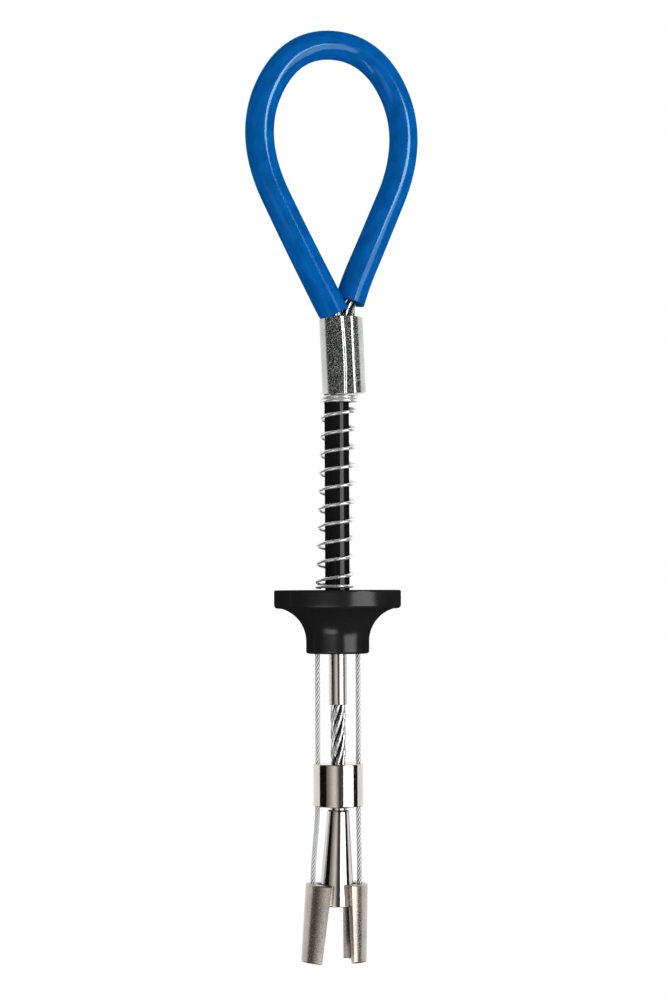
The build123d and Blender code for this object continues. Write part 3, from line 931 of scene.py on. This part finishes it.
# ---- trigger knob ----
# Black moulded plastic: a thick disc for two fingers on a bell-shaped neck, bored to slide on its tube.
disc_radius = (knob_high.x - knob_low.x) / 2
disc_thickness = 6.7 * mm
disc_top_edge = 0.6 * mm
disc_bottom_edge = 1.3 * mm
knob_neck_radius = 11.55 * mm
knob_neck_straight = 4.5 * mm
knob_foot_edge = 0.9 * mm
flare_radius = 12.4 * mm
flare_rows = 24
slide_gap = 0.1 * mm
bore_edge = 0.3 * mm
seat_depth = 4.5 * mm
knob_columns = 192
knob_colour = (0.009, 0.009, 0.0092)
disc_low = knob_high.z - disc_thickness
flare_foot = knob_low.z + knob_neck_straight
flare_end = np.arcsin((disc_low - flare_foot) / flare_radius)
flare_turn = np.linspace(0, flare_end, flare_rows)
flare_heights = flare_foot + flare_radius * np.sin(flare_turn)
flare = np.stack([flare_heights, knob_neck_radius + flare_radius * (1 - np.cos(flare_turn))], -1)
knob_bore = tube_radius + slide_gap
knob_seat = flange_radius + slide_gap
knob_shoulder = knob_low.z + seat_depth
knob_foot = rounded([
    (knob_shoulder, knob_bore, 0), (knob_shoulder, knob_seat, 0), (knob_low.z, knob_seat, bore_edge),
    (knob_low.z, knob_neck_radius, knob_foot_edge), (flare_foot, knob_neck_radius, 0),
])[:-1]
knob_rim = rounded([
    (disc_low, flare[-1][1], 0), (disc_low, disc_radius, disc_bottom_edge),
    (knob_high.z, disc_radius, disc_top_edge), (knob_high.z, knob_bore, bore_edge),
    (knob_shoulder, knob_bore, 0),
])[1:-1]
knob_profile = np.concatenate([knob_foot, flare, knob_rim])
knob_profile[:, 0] -= upright_foot
knob = add_piece("knob", [swept(upright, knob_profile, knob_columns)], joined=(0,))
knob_black = black_plastic("knob_black", knob_colour, roughness=0.2, grain_scale=2200.0,
                           grain_depth=0.01 * mm)
settle(knob, knob_black, "knob_plastic", "trigger", "trigger_knob")


# ---- control wires and their stops ----
# Each is a small steel cable of six strands, crimped in the knob. It slides through the collar, bends out to
# its wing and is held in a blind hole there.
control_radius = 0.95 * mm
control_strands = 6
control_strand_radius = 0.32 * mm
control_core_radius = 0.438 * mm
control_lay = 10 * mm
control_rows = 300
control_columns = 16
control_core_columns = 10
control_colour = (0.95, 0.97, 0.98)
control_valley = (0.9, 0.96)
stop_colour = (0.5, 0.5, 0.48)
wire_spacing = 7.8 * mm         # from the axis in knob and collar
wing_wires = {-1: 9.2 * mm, 1: 8.7 * mm}  # from the axis at the left and right wing
stop_top = 66.2 * mm
collar_hold = 4 * mm            # heights between which it leaves the collar
collar_exit = -10 * mm
wing_entry = 7 * mm             # where it is straight again, above its wing
wire_depth = 8.0 * mm
wing_low_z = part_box("left_wing")[0].z
wing_top_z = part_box("left_wing")[1].z


def lean_shift(z):
    """How far the leaning lower assembly has moved left at a height."""
    return tan(wedge_lean) * min(0.0, z - collar_low.z)


def control_wire(name, hand, node):
    """One control wire, from its wing to its stop in the knob. Hand is -1 for the left wing and 1 for the
    right one."""
    straight_x, wing_x = hand * wire_spacing, hand * wing_wires[hand]
    bends = [
        (wing_x, wing_top_z - wire_depth), (wing_x, wing_top_z - wire_depth / 2),
        (wing_x, wing_top_z + wing_entry), (straight_x, collar_exit), (straight_x, collar_hold),
        (straight_x, stop_top),
    ]
    path = Path(read_route([(((x + lean_shift(z)) / mm, 0.0, z / mm), 1) for x, z in bends]))
    distance = np.linspace(0, path.length, control_rows)
    grids = [
        strand(path, distance, 2 * pi * number / control_strands, control_radius - control_strand_radius,
               control_lay, np.full(control_rows, control_strand_radius), control_columns)
        for number in range(control_strands)
    ]
    depths = outward(grids, path, distance, control_radius)
    centre, side, other, _ = path.at(distance)
    core_size = np.full(control_rows, control_core_radius)
    grids.append(closed_ends(rings(centre, side, other, core_size, control_core_columns), centre))
    wire = add_piece(name, grids, depths=depths + [np.zeros(grids[-1].shape[:2])])
    wire.data.materials.append(control_steel)
    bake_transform(wire)
    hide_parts(node)


control_steel = steel_wire("control_steel", control_colour, roughness=0.22, grain_scale=1500.0,
                           valley=control_valley, metallic=0.25)
control_wire("wire_left", -1, "left_control_wire")
control_wire("wire_right", 1, "right_control_wire")
stop_steel = pressed_steel("stop_plating", stop_colour, roughness=0.35, pit_scale=1500.0,
                           pit_depth=0.04 * mm, film_share=0.8)
for node in ("left_wire_stop", "right_wire_stop"):
    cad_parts[node].data.materials.clear()
    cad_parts[node].data.materials.append(stop_steel)


# ---- wings ----
# Two half-shell slips of nickel-plated steel, round outside to grip the hole, tapered inside to ride on the
# wedge. They hang a little turned on their wires, and the left one splays out.
wing_bore_top = 5.0 * mm
wing_bore_bottom = 7.0 * mm
wing_radius = collar_radius
wing_out = 2.3 * mm             # its round's centre, from the axis
wing_edge = 0.5 * mm
wing_bore_edge = 0.2 * mm
wing_pivot = 6 * mm             # the wings turn about here as they lean, from the axis
wing_lift = 0.3 * mm            # keeps the leaning wings inside the object's length
wing_top_rise = 0.5 * mm
wing_rows = 61
wing_colour = (0.53, 0.48, 0.43)
# Painted shade for the wings' bore side, which faces the wedge.
wing_inner_shade = (0.16, 0.135, 0.12)
inner_shade_fade = 1 * mm            # thickness over which the painted shade inside gives way
# How far the left and right wing reach towards the camera and away from it, in degrees at bottom and top.
wing_fronts = {-1: (59.5, 75), 1: (77, 87)}
wing_backs = {-1: (78, 80), 1: (67, 72)}
wing_leans = {-1: radians(3.7), 1: radians(1.2)}


def wing(name, hand, node, body):
    """One wing, as a profile of height and radius turned through a part circle. Hand is -1 for the left one
    and 1 for the right one."""
    top, bottom = wing_top_z + wing_top_rise, wing_low_z + wing_lift
    profile = rounded([
        (bottom, wing_bore_bottom, wing_bore_edge), (bottom, wing_radius, wing_edge),
        (top, wing_radius, wing_edge), (top, wing_bore_top, wing_bore_edge),
    ])
    height, radius = profile[:, 0], profile[:, 1]
    share = np.linspace(0, 1, wing_rows)[:, None]
    front = -np.radians(np.interp(height, (bottom, top), wing_fronts[hand]))
    back = np.radians(np.interp(height, (bottom, top), wing_backs[hand]))
    angle = front + share * (back - front)
    lean = tan(wedge_lean) * (top - collar_low.z) + tan(wing_leans[hand]) * (height - top)
    out = wing_out + radius * np.cos(angle)
    swing = hand * (wing_pivot - out) * tan(wing_leans[hand])
    grid = np.stack([hand * out + lean, radius * np.sin(angle), height + swing], -1)
    # Depth 0 on the bore side gets the painted shade; the end caps keep the plain colour.
    depth = np.repeat(np.clip((radius - wing_bore_bottom) / inner_shade_fade, 0, 1)[None], wing_rows, axis=0)
    depth[[0, -1]] = 1
    if hand > 0:
        grid = grid[::-1]
    columns = grid.shape[1]
    first = list(range(columns))[::-1]
    last = list(range((wing_rows - 1) * columns, wing_rows * columns))
    made = add_piece(name, [grid], caps=(first, last), depths=[depth])
    settle(made, wing_nickel, "wing_nickel", body, node)


wing_nickel = nickel("satin_nickel", wing_colour, roughness=0.24, speckle=0.012 * mm, paleness=0.7,
                     metallic=0.92, inside=wing_inner_shade)
wing("wing_left", -1, "left_wing", "left_slip")
wing("wing_right", 1, "right_wing", "right_slip")
